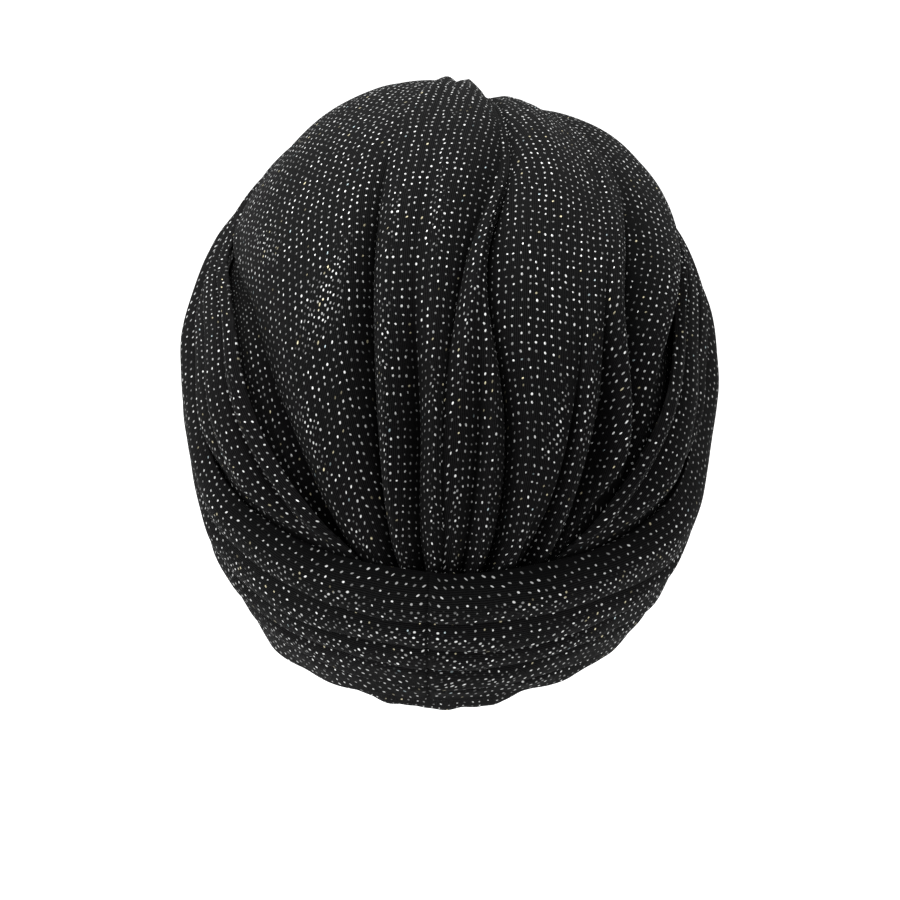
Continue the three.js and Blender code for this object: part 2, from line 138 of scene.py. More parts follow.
def domeRay(direction):
    # the dome's point straight out from its heart
    def reach(height):
        scale = (1 / dome["halfWidth"], 1 / dome["halfDepth"], 1 / height)
        o = Vector([a * b for a, b in zip(heart, scale)])
        d = Vector([a * b for a, b in zip(direction, scale)])
        b = o.dot(d)
        return (-b + sqrt(b * b - d.dot(d) * (o.dot(o) - 1))) / d.dot(d)
    above = heart + direction * reach(dome["height"])
    return above if above.z >= 0 else heart + direction * reach(dome["taper"])


def fromTwist(turn, angle):
    out = upward * cos(turn) + aside * sin(turn)
    return domeRay(out * sin(angle) - along * cos(angle))


def level(turn, nape, front, hold):
    forward = (1 - cos(turn)) / 2
    return mix(nape, front, ease(forward, hold, 1))


def topLevel(turn):
    return level(turn, levels["topNape"], levels["topFront"], levels["topHold"])


def rimLevel(turn):
    window = levels["rimLiftTo"] - levels["rimLiftFrom"]
    share = min(max((abs(turn) - levels["rimLiftFrom"]) / window, 0), 1)
    lift = levels["rimLiftLeft" if turn < 0 else "rimLiftRight"] * sin(pi * share) ** 2
    return level(turn, levels["rimNape"], levels["rimFront"], levels["rimHold"]) + lift


def hemTop(turn):
    bareTo = levels["hemBareTo"]
    bare = mix(levels["hemShows"], levels["hemHidden"], ease(abs(turn), bareTo / 3, bareTo))
    return rimLevel(turn) + bare


def turnOf(p):
    return atan2(-p.x / dome["halfWidth"], p.y / dome["halfDepth"])


def underWrap(p):
    return topLevel(turnOf(p)) - p.z


def settle(turn):
    side = settled["left"] if turn < 0 else settled["right"]
    full = mix(side, settled["front"], ease(abs(turn), settled["frontFrom"], pi))
    return full * ease(abs(turn), settled["start"], settled["full"])


# The dome's middle, placed so that the middle of the head opening is the origin
middle = (domePoint(0, rimLevel(0)) + domePoint(pi, rimLevel(pi))) / -2

stations = (25, 70, 100, 130, 152)     # degrees from the twist, where the fold tables give their values


def fold(name, turn, lift, valley=False, lean=(0, 0)):
    # turn in degrees and lift as a share of the fold's depth, at each station
    # lean: how far the ridge before and after hangs over this valley, in mm
    return {"name": name, "turn": turn, "lift": lift, "valley": valley, "lean": lean}


crownFolds = [
    fold("left edge", (-80, -80, -72, -72, -72), (-0.1, -0.1, -0.1, -0.1, -0.1)),
    fold("under left wrap", (-64, -65, -53, -54, -53), (0, 0, -0.1, -0.1, -0.1)),
    fold("left valley", (-48, -54, -46, -43, -42), (0, 0, -0.3, -0.8, -0.8), True, (0.5, 1)),
    fold("left lobe", (-24, -38, -35, -33, -32), (0.1, 0.3, 0.15, 0.25, 0.2)),
    fold("lit ridge", (-12, -17, -20.5, -24, -27), (0, 0.15, 0.3, 0.1, 0.1)),
    fold("main valley", (-8, -13.5, -16.5, -18, -22), (-0.1, 0, -0.9, -1, -0.8), True, (1.5, 1)),
    fold("ridge beside it", (-5, -10, -12.5, -14.5, -17), (0.1, 0.1, 0.25, 0.3, 0.3)),
    fold("short valley", (-1, -5, -7.5, -7.5, -10), (-0.1, 0, -0.1, -0.8, -0.5), True, (0.5, 0.5)),
    fold("middle ridge", (3, -2, -4, -3.5, -5), (0.1, 0, 0.15, 0.25, 0.25)),
    fold("crease, left arm", (7, 8.5, 1.5, -1.8, -1), (-0.6, -0.6, -0.7, -0.15, -0.1), True, (1, 0.5)),
    fold("tongue", (8, 9.5, 3.7, 2, 3), (-0.7, -0.7, 0.15, 0.1, 0.1)),
    fold("nape valley", (9, 10.2, 4.6, 7, 8), (-0.8, -0.75, 0.1, -0.5, -0.3), True),
    fold("nape ridge", (10, 10.8, 5.3, 10.5, 13), (-0.85, -0.8, -0.2, 0.1, 0.2)),
    fold("crease, right arm", (11, 11.5, 6.2, 14, 20), (-0.85, -0.8, -0.9, -0.9, -0.9), True, (0.5, 1.5)),
    fold("lobe edge", (14, 15, 12, 19, 25), (-0.5, -0.3, 0.15, 0.4, 0.75)),
    fold("lobe crest", (17, 20, 20, 25, 29), (-0.45, -0.15, 0.25, 0.45, 0)),
    fold("lower pocket", (21, 25, 24, 28.5, 32), (-0.5, -0.2, 0.2, -0.3, -1), True, (2, 0)),
    fold("pocket ridge", (25, 28, 27, 31, 37), (-0.55, -0.25, 0.25, 0.5, 0.4)),
    fold("upper pocket", (28, 31, 29.5, 36.5, 41), (-0.55, -0.3, 0.2, -1.1, -0.8), True, (2.5, 0)),
    fold("lobe rim", (31, 34, 31.5, 43, 46), (-0.5, -0.2, 0.6, 0.7, 0.4)),
    fold("big valley", (34, 38, 35, 49, 50), (-0.5, -0.4, -1, -1.1, -0.6), True, (3.5, 0.5)),
    fold("right lobe", (50, 51, 47.5, 53, 53), (0, 0.3, 0.35, 0, 0)),
    fold("under right wrap", (64, 62, 55, 56, 55), (0.2, 0.3, -0.1, -0.1, -0.1)),
    fold("right edge", (80, 80, 72, 72, 72), (-0.1, -0.1, -0.1, -0.1, -0.1)),
]

leftWrapFolds = [
    fold("top edge", (62, 63, 49.5, 45, 34), (0.2, 0.1, 0.2, 0.2, 0.1)),
    fold("rolled edge", (63, 65, 51.5, 47.5, 37), (0.4, 0.5, 0.7, 0.7, 0.5)),
    fold("first valley", (65, 68, 56, 51, 43), (0.2, 0, 0, 0, 0), True, (0.8, 1)),
    fold("second fold", (67, 70, 61, 57, 50), (0.5, 0.7, 0.9, 0.9, 0.5)),
    fold("second valley", (69, 73, 65.5, 62, 57), (0.2, 0.2, 0.1, 0.1, 0.1), True, (0.5, 1)),
    fold("third fold", (71, 76, 70, 67, 63), (0.5, 0.9, 1, 0.9, 0.4)),
]
rightWrapFolds = [
    fold("top edge", (62, 60, 52, 47.5, 41), (0.2, 0.1, 0.2, 0.2, 0.1)),
    fold("rolled edge", (63, 62, 54, 49.5, 43.5), (0.4, 0.6, 0.7, 0.7, 0.5)),
    fold("first valley", (65, 65, 57, 53, 48), (0.2, 0.2, 0.1, 0, 0), True, (0.8, 1)),
    fold("second fold", (67, 68, 62, 61, 56), (0.5, 0.9, 0.9, 0.8, 0.5)),
    fold("second valley", (69, 71, 66.5, 66, 61), (0.2, 0.4, 0.3, 0.2, 0.1), True, (0.5, 1)),
    fold("third fold", (71, 74, 71, 70, 65), (0.5, 1, 1, 0.8, 0.4)),
]


def alongStations(values, where):
    last = len(stations) - 1
    if where <= stations[0]:
        return values[0]
    if where >= stations[last]:
        return values[last]
    i = next(k for k, s in enumerate(stations) if s > where) - 1

    def slope(k):
        a, b = max(k - 1, 0), min(k + 1, last)
        return (values[b] - values[a]) / (stations[b] - stations[a])
    span = stations[i + 1] - stations[i]
    x = (where - stations[i]) / span
    tangents = (slope(i) * x * (1 - x) ** 2 - slope(i + 1) * x * x * (1 - x)) * span
    return mix(values[i], values[i + 1], x * x * (3 - 2 * x)) + tangents


valleyPower = 1.4      # above 1 the ridges are round and the valleys narrow


def acrossFolds(table, place, angle):
    # turn in radians, lift as a share, and the sideways lean in metres at one place of the cloth
    i = min(int(place), len(table) - 2)
    x = place - i
    a, b = table[i], table[i + 1]
    where = degrees(angle)
    turns = alongStations(a["turn"], where), alongStations(b["turn"], where)
    lifts = alongStations(a["lift"], where), alongStations(b["lift"], where)
    if a["valley"] and not b["valley"]:
        share, lean = 1 - (1 - x) ** valleyPower, -a["lean"][1]
    elif b["valley"] and not a["valley"]:
        share, lean = x ** valleyPower, b["lean"][0]
    else:
        share, lean = ease(x, 0, 1), 0
    deep = min(abs(lifts[1] - lifts[0]), 1)
    return (radians(mix(*turns, x)), mix(*lifts, share), lean * mm * sin(pi * share) * deep)


def endOfLine(pointAt, near, far):
    # where a line of cloth has run in under the lower wrap by the tuck
    for _ in range(26):
        half = (near + far) / 2
        if underWrap(pointAt(half)) < cloth["tuck"]:
            near = half
        else:
            far = half
    return near


def ruffle(place, angle, seed):
    # the small unevenness of cloth pulled along its length
    broad = noise.noise(Vector((place * 0.45, angle * 1.6, seed)))
    small = noise.noise(Vector((place * 1.7, angle * 3.3, seed + 7)))
    return broad * 1.5 * mm + small * 0.7 * mm


# Knit grid of each piece: metres along and across the wales, set per panel so that the jumps
# between panels lie in the valleys
def layKnit(bm, points, columns, rows, panels, refRow, slant, turned=False):
    acrossAt = []
    for r in range(rows + 1):
        run = [0.0]
        for c in range(columns):
            run.append(run[-1] + (points[r][c + 1] - points[r][c]).length)
        acrossAt.append(run)
    downAt = []
    for c in range(columns + 1):
        run = [0.0]
        for r in range(rows):
            run.append(run[-1] + (points[r + 1][c] - points[r][c]).length)
        downAt.append([d - run[refRow] for d in run])
    knit = bm.loops.layers.uv.new("knit")
    for face in bm.faces:
        cells = [divmod(loop.vert.index, columns + 1) for loop in face.loops]
        left = min(c for _, c in cells)
        panel = next(k for k, (start, end, mid) in enumerate(panels) if start <= left < end)
        mid = panels[panel][2]
        home = acrossAt[refRow][mid]
        for loop, (r, c) in zip(face.loops, cells):
            u = home + acrossAt[r][c] - acrossAt[r][mid]
            v = downAt[c][r] + slant[panel] * (u - home)
            loop[knit].uv = (v, u) if turned else (u, v)


# Where painted shade dims the flecks in the valleys and where a painted highlight of extra flecks lies on the
# crests
folding = {
    "across": 10,              # how many columns to each side a ridge is looked for
    "down": 9,
    "shallow": 0.4 * mm,       # a valley less deep than this stays fully lit
    "deep": 7 * mm,
    "crest": 0.4 * mm,         # how far below the highest line a ridge's crest reaches
    "steepFrom": 1.8 * mm,     # only a ridge that stands this high over a valley gets the painted crest highlight
    "steepTo": 4.5 * mm,
}


def liftOf(p):
    # how far a point lies above the dome, nearly
    q = p - middle
    reach = Vector((q.x / dome["halfWidth"], q.y / dome["halfDepth"], q.z / semiAxis(q.z))).length
    return (reach - 1) / max(reach, 0.1) * q.length


# Painted shade mask of the cloth, 1 on a ridge and 0 in a deep valley, and the mask of its crests for the
# painted crest highlight
def layShade(bm, points, columns, rows):
    d = folding
    lifts = [[liftOf(p) for p in line] for line in points]
    lit = bm.verts.layers.float.new("lit")
    crest = bm.verts.layers.float.new("crest")
    for v in bm.verts:
        r, c = divmod(v.index, columns + 1)
        ridges = lifts[r][max(c - d["across"], 0):c + d["across"] + 1]
        ridges += [lifts[k][c] for k in range(max(r - d["down"], 0), min(r + d["down"], rows) + 1)]
        highest = max(ridges)
        # painted shade: darker the deeper a place lies below the nearby ridges
        v[lit] = 1 - ease(highest - lifts[r][c], d["shallow"], d["deep"])
        # painted crest highlight: extra flecks on ridges that stand high over a valley
        stands = ease(highest - min(ridges), d["steepFrom"], d["steepTo"])
        v[crest] = stands * (1 - ease(highest - lifts[r][c], 0, d["crest"]))


def clothMesh(name, rows, columns, pointAt, panels=None, refRow=0, slant=None, turned=False, ring=False):
    bm = bmesh.new()
    bmesh.ops.create_grid(bm, x_segments=columns, y_segments=rows, size=0.5)
    bm.verts.ensure_lookup_table()
    points = [[None] * (columns + 1) for _ in range(rows + 1)]
    for v in bm.verts:
        r, c = divmod(v.index, columns + 1)
        v.co = pointAt(r / rows, c / columns) + middle
        points[r][c] = v.co.copy()
    layKnit(bm, points, columns, rows, panels or [(0, columns, columns // 2)], refRow,
            slant or [0.0] * len(panels or [0]), turned)
    layShade(bm, points, columns, rows)
    if ring:
        bmesh.ops.remove_doubles(bm, verts=bm.verts, dist=0.00001)
    bmesh.ops.recalc_face_normals(bm, faces=bm.faces)
    outward = sum((f.calc_center_median() - middle).dot(f.normal) for f in bm.faces)
    if outward < 0:
        bmesh.ops.reverse_faces(bm, faces=bm.faces)
    mesh = bpy.data.meshes.new(name)
    bm.to_mesh(mesh)
    bm.free()
    mesh.shade_smooth()
    piece = bpy.data.objects.new(name, mesh)
    bpy.context.scene.collection.objects.link(piece)
    return piece


def giveThickness(piece, thickness):
    solid = piece.modifiers.new("cloth thickness", "SOLIDIFY")
    solid.thickness = thickness
    solid.offset = -1
    solid.use_even_offset = False
    solid.use_rim = True


def addNode(tree, kind, **sockets):
    node = tree.nodes.new(kind)
    for name, value in sockets.items():
        setattr(node, name, value)
    return node


def calc(tree, operation, a, b=None, c=None):
    # one Math node: numbers are set on it, sockets are linked to it
    node = addNode(tree, "ShaderNodeMath", operation=operation)
    for socket, value in zip(node.inputs, (a, b, c)):
        if value is None:
            continue
        if isinstance(value, (int, float)):
            socket.default_value = value
        else:
            tree.links.new(value, socket)
    return node.outputs[0]


# Rows of metallic flecks on fine ribs
def fleckGroup():
    group = bpy.data.node_groups.new("fleck rows", "ShaderNodeTree")
    face = group.interface
    face.new_socket(name="Knit", in_out="INPUT", socket_type="NodeSocketVector")
    for name, value in (("Wale Pitch", 0.00285), ("Course Pitch", 0.0031), ("Fleck Width", 0.0005),
                        ("Fleck Length", 0.00062), ("Scatter", 0.34)):
        face.new_socket(name=name, in_out="INPUT", socket_type="NodeSocketFloat").default_value = value
    for name in ("Fleck", "Glint", "Rib", "Hue"):
        face.new_socket(name=name, in_out="OUTPUT", socket_type="NodeSocketFloat")
    start = group.nodes.new("NodeGroupInput").outputs
    end = group.nodes.new("NodeGroupOutput").inputs
    split = addNode(group, "ShaderNodeSeparateXYZ")
    group.links.new(start["Knit"], split.inputs[0])
    u, v = split.outputs[0], split.outputs[1]
    course = calc(group, "DIVIDE", v, start["Course Pitch"])
    row = calc(group, "FLOOR", course)
    wale = calc(group, "DIVIDE", u, start["Wale Pitch"])
    column = calc(group, "FLOOR", wale)
    cell = addNode(group, "ShaderNodeCombineXYZ")
    group.links.new(column, cell.inputs[0])
    group.links.new(row, cell.inputs[1])
    chance = addNode(group, "ShaderNodeTexWhiteNoise", noise_dimensions="2D")
    group.links.new(cell.outputs[0], chance.inputs["Vector"])
    dice = addNode(group, "ShaderNodeSeparateColor")
    group.links.new(chance.outputs["Color"], dice.inputs[0])
    shifted = addNode(group, "ShaderNodeVectorMath", operation="ADD")
    group.links.new(cell.outputs[0], shifted.inputs[0])
    shifted.inputs[1].default_value = (37.5, 11.25, 0)
    second = addNode(group, "ShaderNodeTexWhiteNoise", noise_dimensions="2D")
    group.links.new(shifted.outputs[0], second.inputs["Vector"])
    more = addNode(group, "ShaderNodeSeparateColor")
    group.links.new(second.outputs["Color"], more.inputs[0])

    def offCentre(place, roll, pitch, size):
        jitter = calc(group, "MULTIPLY", calc(group, "SUBTRACT", roll, 0.5), start["Scatter"])
        inCell = calc(group, "SUBTRACT", calc(group, "SUBTRACT", calc(group, "FRACT", place), 0.5), jitter)
        return calc(group, "DIVIDE", calc(group, "MULTIPLY", inCell, pitch), size)
    grown = calc(group, "MULTIPLY_ADD", more.outputs[0], 0.5, 0.72)
    wide = calc(group, "MULTIPLY", start["Fleck Width"], grown)
    stretched = calc(group, "MULTIPLY_ADD", more.outputs[1], 0.6, 0.7)
    tall = calc(group, "MULTIPLY", start["Fleck Length"], stretched)
    du = offCentre(wale, dice.outputs[0], start["Wale Pitch"], wide)
    dv = offCentre(course, dice.outputs[1], start["Course Pitch"], tall)
    # a loop of tinsel leans one way or the other
    du = calc(group, "MULTIPLY_ADD", dv, calc(group, "MULTIPLY_ADD", more.outputs[2], 0.7, -0.35), du)
    squared = calc(group, "ADD", calc(group, "MULTIPLY", du, du), calc(group, "MULTIPLY", dv, dv))
    apart = calc(group, "SQRT", squared)
    edge = addNode(group, "ShaderNodeMapRange", interpolation_type="SMOOTHSTEP")
    group.links.new(apart, edge.inputs["Value"])
    edge.inputs["From Min"].default_value = 1.15
    edge.inputs["From Max"].default_value = 0.6
    group.links.new(edge.outputs[0], end["Fleck"])
    bright = calc(group, "POWER", dice.outputs[2], 1.5)
    group.links.new(calc(group, "MULTIPLY_ADD", bright, 0.86, 0.14), end["Glint"])
    ribs = calc(group, "MULTIPLY", wale, 4 * 2 * pi)
    group.links.new(calc(group, "MULTIPLY_ADD", calc(group, "SINE", ribs), 0.5, 0.5), end["Rib"])
    group.links.new(more.outputs[2], end["Hue"])
    return group


# Fine fuzz and unevenness of the yarn
def yarnGroup():
    group = bpy.data.node_groups.new("yarn", "ShaderNodeTree")
    face = group.interface
    face.new_socket(name="Knit", in_out="INPUT", socket_type="NodeSocketVector")
    face.new_socket(name="Rib", in_out="INPUT", socket_type="NodeSocketFloat")
    face.new_socket(name="Dark", in_out="INPUT", socket_type="NodeSocketColor")
    face.new_socket(name="Light", in_out="INPUT", socket_type="NodeSocketColor")
    face.new_socket(name="Colour", in_out="OUTPUT", socket_type="NodeSocketColor")
    face.new_socket(name="Height", in_out="OUTPUT", socket_type="NodeSocketFloat")
    start = group.nodes.new("NodeGroupInput").outputs
    end = group.nodes.new("NodeGroupOutput").inputs
    grain = addNode(group, "ShaderNodeTexNoise", noise_dimensions="2D")
    grain.inputs["Scale"].default_value = 1400
    grain.inputs["Detail"].default_value = 2
    group.links.new(start["Knit"], grain.inputs["Vector"])
    mixed = calc(group, "MULTIPLY_ADD", calc(group, "SUBTRACT", grain.outputs["Fac"], 0.5), 1.1, start["Rib"])
    colour = addNode(group, "ShaderNodeMix", data_type="RGBA")
    group.links.new(mixed, colour.inputs[0])
    group.links.new(start["Dark"], colour.inputs[6])
    group.links.new(start["Light"], colour.inputs[7])
    group.links.new(colour.outputs[2], end["Colour"])
    group.links.new(mixed, end["Height"])
    return group


fleckRows = fleckGroup()
yarn = yarnGroup()

knitFinishAndPaintedLight = {
    "dark": (0.0006, 0.0006, 0.0007, 1),
    "light": (0.0074, 0.0074, 0.0076, 1),
    "silver": (0.86, 0.87, 0.86, 1),
    "gold": (0.9, 0.82, 0.55, 1),
    "ice": (0.7, 0.86, 0.9, 1),
    # painted shade: the dark ground colour of a deep valley, and the share of fleck brightness left there
    "valley": (0.0012, 0.0012, 0.0013, 1),
    "fleckUnderPaintedShade": 0.5,        # share of a fleck's brightness left under the painted shade of a deep valley
    "goldFrom": 0.955,         # flecks whose chance lies above this are gold, and above the next one ice
    "iceFrom": 0.985,
    "between": (8.5, 5.5),     # how many rows along and across the second set of flecks, the painted crest highlight, is moved
    "roughness": 0.85,
    "fleckSmooth": -0.45,
    "fleckMetal": 0.35,
    "relief": 0.5,
    "reliefDepth": 0.00025,
    "fleckRelief": 0.9,
    "sheen": 0.008,
    "sheenRoughness": 0.5,
    "specular": 0.048,
}


def knitMaterial(name, walePitch, coursePitch, width=0.00036, length=0.00047, shade=1.0, glow=1.0):
    material = bpy.data.materials.new(name)
    material.use_nodes = True
    tree = material.node_tree
    shader = tree.nodes["Principled BSDF"]
    grid = addNode(tree, "ShaderNodeUVMap", uv_map="knit")
    flecks = addNode(tree, "ShaderNodeGroup", node_tree=fleckRows)
    crestHighlightFlecks = addNode(tree, "ShaderNodeGroup", node_tree=fleckRows)
    for socket, value in (("Wale Pitch", walePitch), ("Course Pitch", coursePitch), ("Fleck Width", width),
                          ("Fleck Length", length)):
        flecks.inputs[socket].default_value = value
        crestHighlightFlecks.inputs[socket].default_value = value
    tree.links.new(grid.outputs[0], flecks.inputs["Knit"])
    base = addNode(tree, "ShaderNodeGroup", node_tree=yarn)
    base.inputs["Dark"].default_value = [c * shade for c in knitFinishAndPaintedLight["dark"][:3]] + [1]
    base.inputs["Light"].default_value = [c * shade for c in knitFinishAndPaintedLight["light"][:3]] + [1]
    tree.links.new(grid.outputs[0], base.inputs["Knit"])
    tree.links.new(flecks.outputs["Rib"], base.inputs["Rib"])
    ramp = addNode(tree, "ShaderNodeValToRGB")
    ramp.color_ramp.interpolation = "CONSTANT"
    ramp.color_ramp.elements[0].color = knitFinishAndPaintedLight["silver"]
    ramp.color_ramp.elements[1].position = knitFinishAndPaintedLight["goldFrom"]
    ramp.color_ramp.elements[1].color = knitFinishAndPaintedLight["gold"]
    ramp.color_ramp.elements.new(knitFinishAndPaintedLight["iceFrom"]).color = knitFinishAndPaintedLight["ice"]
    tree.links.new(flecks.outputs["Hue"], ramp.inputs[0])
    # painted shade mask: lit is 1 on a ridge and 0 in a deep valley
    lit = addNode(tree, "ShaderNodeAttribute", attribute_name="lit")
    # on a crest a second set of flecks is painted between the first, a painted highlight along the fold
    # crests
    crest = addNode(tree, "ShaderNodeAttribute", attribute_name="crest")
    between = addNode(tree, "ShaderNodeVectorMath", operation="ADD")
    tree.links.new(grid.outputs[0], between.inputs[0])
    moved = knitFinishAndPaintedLight["between"]
    between.inputs[1].default_value = (walePitch * moved[0], coursePitch * moved[1], 0)
    tree.links.new(between.outputs[0], crestHighlightFlecks.inputs["Knit"])
    paintedCrestHighlight = calc(tree, "MULTIPLY", calc(tree, "MULTIPLY", crestHighlightFlecks.outputs["Fleck"], crestHighlightFlecks.outputs["Glint"]),
                 crest.outputs["Fac"])
    first = calc(tree, "MULTIPLY", flecks.outputs["Fleck"], flecks.outputs["Glint"])
    seen = calc(tree, "MAXIMUM", first, paintedCrestHighlight)
    # painted shade dims the flecks in the valleys
    least = knitFinishAndPaintedLight["fleckUnderPaintedShade"]
    paintedFleckShade = calc(tree, "MULTIPLY_ADD", lit.outputs["Fac"], 1 - least, least)
    strength = calc(tree, "MULTIPLY", calc(tree, "MULTIPLY", seen, paintedFleckShade), glow)
    # painted shade: the ground colour runs to the dark valley colour where the lit mask is low
    paintedShadeGround = addNode(tree, "ShaderNodeMix", data_type="RGBA")
    tree.links.new(lit.outputs["Fac"], paintedShadeGround.inputs[0])
    paintedShadeGround.inputs[6].default_value = knitFinishAndPaintedLight["valley"]
    tree.links.new(base.outputs["Colour"], paintedShadeGround.inputs[7])
    colour = addNode(tree, "ShaderNodeMix", data_type="RGBA")
    tree.links.new(strength, colour.inputs[0])
    tree.links.new(paintedShadeGround.outputs[2], colour.inputs[6])
    tree.links.new(ramp.outputs[0], colour.inputs[7])
    tree.links.new(colour.outputs[2], shader.inputs["Base Color"])
    smooth, plain = knitFinishAndPaintedLight["fleckSmooth"], knitFinishAndPaintedLight["roughness"]
    rough = calc(tree, "MULTIPLY_ADD", flecks.outputs["Fleck"], smooth, plain)
    tree.links.new(rough, shader.inputs["Roughness"])
    metal = calc(tree, "MULTIPLY", flecks.outputs["Fleck"], knitFinishAndPaintedLight["fleckMetal"])
    tree.links.new(metal, shader.inputs["Metallic"])
    bump = addNode(tree, "ShaderNodeBump")
    bump.inputs["Strength"].default_value = knitFinishAndPaintedLight["relief"]
    bump.inputs["Distance"].default_value = knitFinishAndPaintedLight["reliefDepth"]
    raised = knitFinishAndPaintedLight["fleckRelief"]
    height = calc(tree, "MULTIPLY_ADD", flecks.outputs["Fleck"], raised, base.outputs["Height"])
    tree.links.new(height, bump.inputs["Height"])
    tree.links.new(bump.outputs[0], shader.inputs["Normal"])
    shader.inputs["Sheen Weight"].default_value = knitFinishAndPaintedLight["sheen"]
    shader.inputs["Sheen Roughness"].default_value = knitFinishAndPaintedLight["sheenRoughness"]
    shader.inputs["Specular IOR Level"].default_value = knitFinishAndPaintedLight["specular"]
    return material


crownKnit = knitMaterial("crown knit", 0.00275, 0.003)
wrapKnit = knitMaterial("wrap knit", 0.0028, 0.003)
bandKnit = knitMaterial("band knit", 0.0033, 0.0033, 0.00046, 0.00046)
hemKnit = knitMaterial("hem knit", 0.0029, 0.0032, shade=0.8, glow=0.85)
print("materials ready")


def finishPiece(piece, material, slot, *nodes):
    piece.data.materials.append(material)
    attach(piece, "root")
    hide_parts(*nodes)


crownMesh = {
    "rows": 150,
    "perFold": 11,             # columns between two fold lines
    "start": radians(5),
    "rollTurn": radians(6),    # how far before an upper wrap's edge the crown starts to roll in under it
    "rolledTurn": radians(1),
    # where one panel of the knit grid ends and the next begins
    "panels": ("left edge", "left valley", "main valley", "crease, left arm", "crease, right arm",
               "big valley", "right edge"),
    "slant": (0.3, 0.36, 0.2, 0.1, 0.02, 0.0),
    "flat": (0.26, 0.27),
}


def crownLift(base, turn, angle, lift):
    table = leftWrapFolds if turn < 0 else rightWrapFolds
    edge = radians(alongStations(table[0]["turn"], degrees(angle)))
    underUpper = ease(abs(turn), edge - crownMesh["rollTurn"], edge - crownMesh["rolledTurn"])
    underLower = ease(underWrap(base), -cloth["press"] * 0.8, 0)
    pressed = settle(turnOf(base))
    belowUpper = min(lift, 0) - pressed
    belowLower = min(lift, upperOutside - pressed)
    return mix(mix(lift, belowLower, underLower), belowUpper, underUpper)


def makeCrown():
    d = crownMesh
    columns = (len(crownFolds) - 1) * d["perFold"]
    ends = [endOfLine(lambda a: fromTwist(acrossFolds(crownFolds, c / d["perFold"], a)[0], a),
                      radians(60), radians(172)) for c in range(columns + 1)]

    def pointAt(down, over):
        c = round(over * columns)
        angle = mix(d["start"], ends[c], down)
        turn, lift, lean = acrossFolds(crownFolds, c / d["perFold"], angle)
        near = ease(angle, radians(12), radians(40))
        height = lift * cloth["foldDepth"] + ruffle(c / d["perFold"], angle, 3.0) * near
        base = fromTwist(turn, angle)
        sideways = (fromTwist(turn + 0.01, angle) - base).normalized()
        p = base + domeNormal(base) * crownLift(base, turn, angle, height)
        return p + sideways * lean * near
    names = [f["name"] for f in crownFolds]
    cuts = [names.index(n) * d["perFold"] for n in d["panels"]]
    panels = [(a, b, (a + b) // 2) for a, b in zip(cuts, cuts[1:])]
    piece = clothMesh("crown_cloth", d["rows"], columns, pointAt, panels, int(d["rows"] * 0.5), d["slant"])
    giveThickness(piece, cloth["sheet"])
    finishPiece(piece, crownKnit, "fleck_knit", "crown")
    return piece


makeCrown()
print("crown ready")

upperMesh = {
    "rows": 120,
    "perFold": 12,
    "tucked": 8,               # columns in the hidden part
    "start": radians(11),
    "flat": (0.23, 0.055),
}


def makeUpperWrap(name, node, table, side):
    d = upperMesh
    steps = (len(table) - 1) * d["perFold"]
    columns = steps + d["tucked"]
    end = endOfLine(lambda a: fromTwist(side * acrossFolds(table, 0, a)[0], a), radians(60), radians(172))

    def pointAt(down, over):
        c = round(over * columns)
        beyond = max(c - steps, 0) / d["tucked"]
        angle = mix(d["start"], end, down)
        place = min(c, steps) / d["perFold"]
        turn, lift, lean = acrossFolds(table, place, angle)
        lowest = endOfLine(lambda t: fromTwist(side * t, angle), 0, 2 * pi / 3)
        turn = mix(min(turn, lowest), lowest, beyond)
        base = fromTwist(side * turn, angle)
        free = 1 - ease(underWrap(base), -cloth["press"] * 0.8, 0)
        free *= ease(angle, d["start"] * 1.5, d["start"] * 3)
        uneven = ruffle(place + 20 * side, angle, 5.0) + 0.6 * mm
        height = upperOutside + (lift * cloth["pleatDepth"] + uneven) * free * (1 - beyond)
        height -= settle(turnOf(base))
        sideways = (fromTwist(side * (turn + 0.01), angle) - base).normalized()
        return base + domeNormal(base) * height + sideways * lean * free
    piece = clothMesh(name, d["rows"], columns, pointAt, refRow=d["rows"] // 2)
    giveThickness(piece, cloth["sheet"])
    finishPiece(piece, wrapKnit, "fleck_knit", node)
    return piece


makeUpperWrap("upper_wrap_left_cloth", "upper_wrap_left", leftWrapFolds, -1)
makeUpperWrap("upper_wrap_right_cloth", "upper_wrap_right", rightWrapFolds, 1)
print("upper wraps ready")


def pleat(name, nape, front, hold, lift, behind, tuckUp, sag=0):
    # nape and front: drop from the wrap's top edge to the rim, as a share
    # lift and behind: shares of the pleat's depth
    # tuckUp: how far the next fold starts above this edge; sag: drop of the edge on the wearer's right
    return {"name": name, "nape": nape, "front": front, "hold": hold, "lift": lift, "behind": behind,
            "tuckUp": tuckUp * mm, "sag": sag * mm}


lowerFolds = [
    pleat("first", 0.22, 0.18, 0.04, 1.0, 0.1, 3.2, 7),
    pleat("second", 0.39, 0.34, 0.08, 0.85, -0.1, 2.8, 5),
    pleat("third", 0.53, 0.5, 0.14, 0.65, -0.3, 2.4, 3),
    pleat("fourth", 0.71, 0.67, 0.2, 0.4, -0.45, 2.8),
    pleat("last", 0.86, 0.9, 0.2, 0.05, -0.5, 2.0),
]

lowerMesh = {
    "columns": 170,
    "perStep": 4,              # rows between two points of the profile
    "seam": radians(-3),
    "roll": 1.1 * mm,          # radius of the folded top edge
    "wander": 2.2 * mm,        # how far the fold edges stray
    "seamDip": 1.1 * mm,       # how deep the sewn edges turn in
    "seamTurn": radians(1.6),
    "frontPleats": 0.4,
    "flat": (0.29, 0.11),
}


